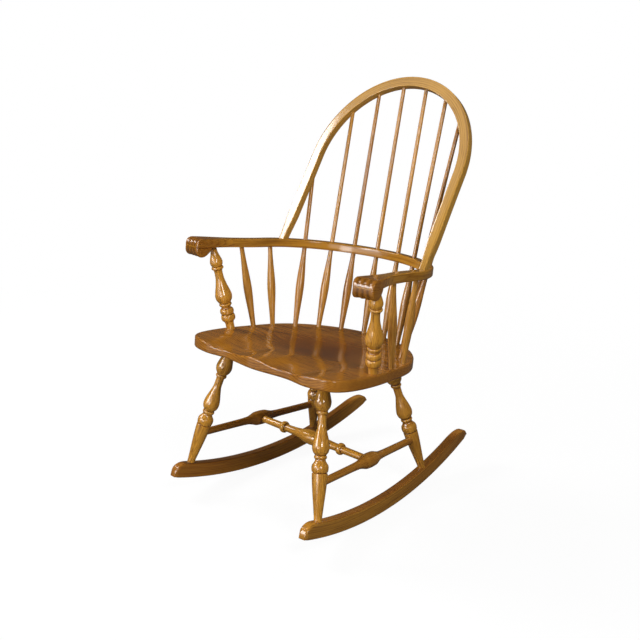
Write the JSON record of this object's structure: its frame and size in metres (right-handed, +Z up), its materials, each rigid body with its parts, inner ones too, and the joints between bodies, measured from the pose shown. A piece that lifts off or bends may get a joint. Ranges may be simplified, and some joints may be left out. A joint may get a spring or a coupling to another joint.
{
  "type": "windsor rocking chair",
  "caption": "Wooden sack-back windsor rocking chair with a bent hoop and arm rail, turned spindles, posts and legs, a dished plank seat, knuckled hands and curved rockers.",
  "frame": {"origin": "on the floor, under the middle of the chair's box", "axes": "+Z up, -Y the way the sitter faces, +X to the right as seen from the front"},
  "size_m": [0.6458, 0.7216, 1.0651],
  "materials": {
    "seat_wood": "satin varnish over brown oak",
    "turned_wood": "satin varnish over honey oak",
    "spindle_wood": "satin varnish over honey oak",
    "arm_wood": "satin varnish over honey oak",
    "hoop_wood": "satin varnish over pale oak",
    "rocker_wood": "satin varnish over brown oak"
  },
  "bodies": {
    "root": {"seat": "seat_wood", "arm_rail": "arm_wood", "hand_block_left": "arm_wood", "hand_block_right": "arm_wood", "hoop": "hoop_wood", "rocker_left": "rocker_wood", "rocker_right": "rocker_wood", "front_leg_left": "turned_wood", "front_leg_right": "turned_wood", "rear_leg_left": "turned_wood", "rear_leg_right": "turned_wood", "side_stretcher_left": "turned_wood", "side_stretcher_right": "turned_wood", "cross_stretcher": "turned_wood", "arm_post_left": "turned_wood", "arm_post_right": "turned_wood", "long_spindle_left_1": "spindle_wood", "long_spindle_left_2": "spindle_wood", "long_spindle_left_3": "spindle_wood", "long_spindle_left_4": "spindle_wood", "long_spindle_right_1": "spindle_wood", "long_spindle_right_2": "spindle_wood", "long_spindle_right_3": "spindle_wood", "long_spindle_right_4": "spindle_wood", "short_spindle_left_1": "spindle_wood", "short_spindle_left_2": "spindle_wood", "short_spindle_right_1": "spindle_wood", "short_spindle_right_2": "spindle_wood"}
  },
  "joints": []
}
